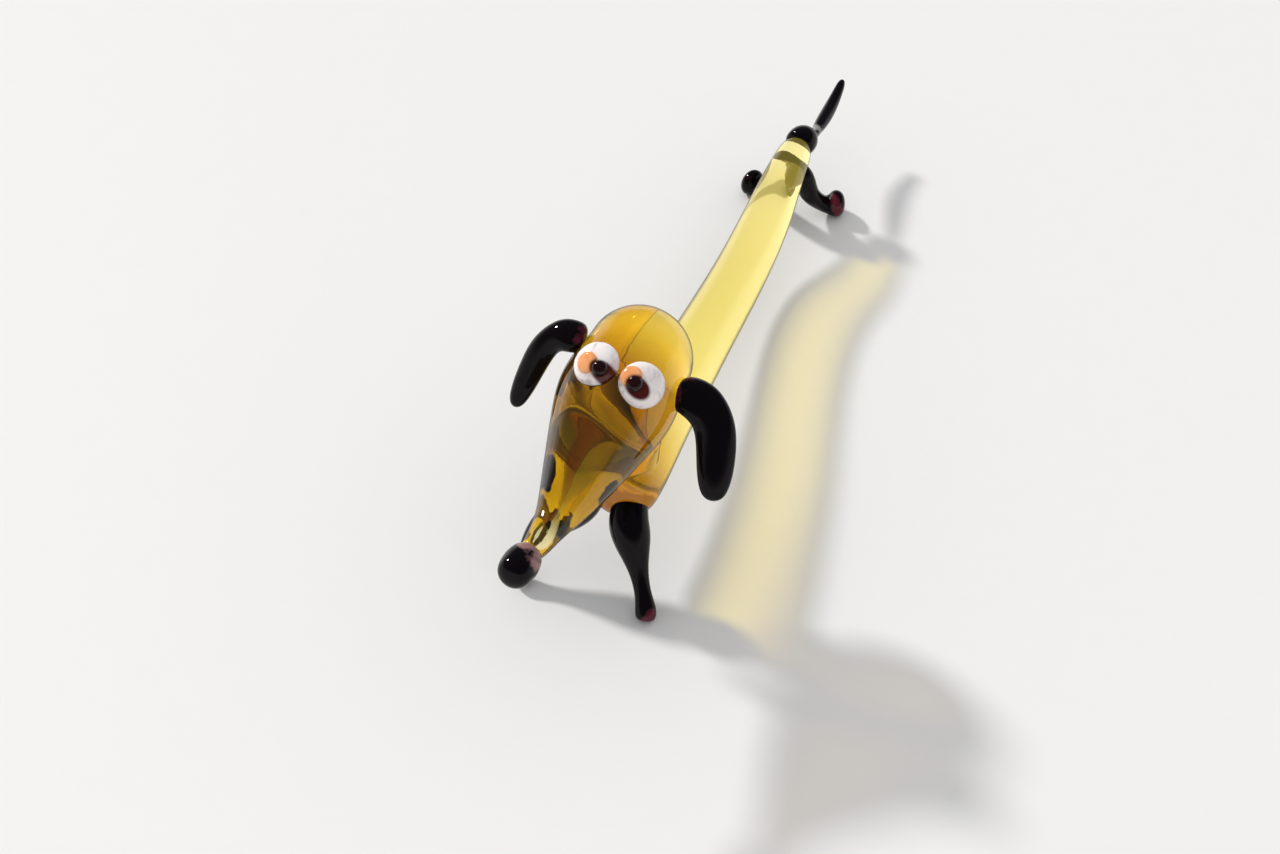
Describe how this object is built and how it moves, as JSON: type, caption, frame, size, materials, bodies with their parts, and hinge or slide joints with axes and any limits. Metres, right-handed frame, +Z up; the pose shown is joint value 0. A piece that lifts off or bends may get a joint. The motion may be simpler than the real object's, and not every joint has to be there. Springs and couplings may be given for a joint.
{
  "type": "dog figurine",
  "caption": "Free-standing dachshund figurine of fused glass gathers: long amber body and snout, dark drooping ears, legs, nose and tail, and bulging bead eyes.",
  "frame": {"origin": "middle of the bounding box, on the surface the figurine stands on", "axes": "+X towards the dog's left, -Y the way the dog faces, +Y towards its tail, +Z up"},
  "size_m": [0.0236, 0.0998, 0.0292],
  "materials": {
    "amber_glass": "clear amber glass, fire-polished",
    "amethyst_glass": "near-black dark amethyst glass, fire-polished; thin edges glow dark red",
    "white_glass": "opaque white glass with faint grey streaks, fire-polished",
    "orange_glass": "opaque orange glass, fire-polished"
  },
  "bodies": {
    "root": {"body": "amber_glass", "ear_left": "amethyst_glass", "ear_right": "amethyst_glass", "eye_white_left": "white_glass", "eye_white_right": "white_glass", "foreleg_left": "amethyst_glass", "foreleg_right": "amethyst_glass", "head": "amber_glass", "hindleg_left": "amethyst_glass", "hindleg_right": "amethyst_glass", "iris_left": "orange_glass", "iris_right": "orange_glass", "neck": "amber_glass", "nose": "amethyst_glass", "pupil_left": "amethyst_glass", "pupil_right": "amethyst_glass", "rump_cap": "amethyst_glass", "tail": "amethyst_glass"}
  },
  "joints": []
}
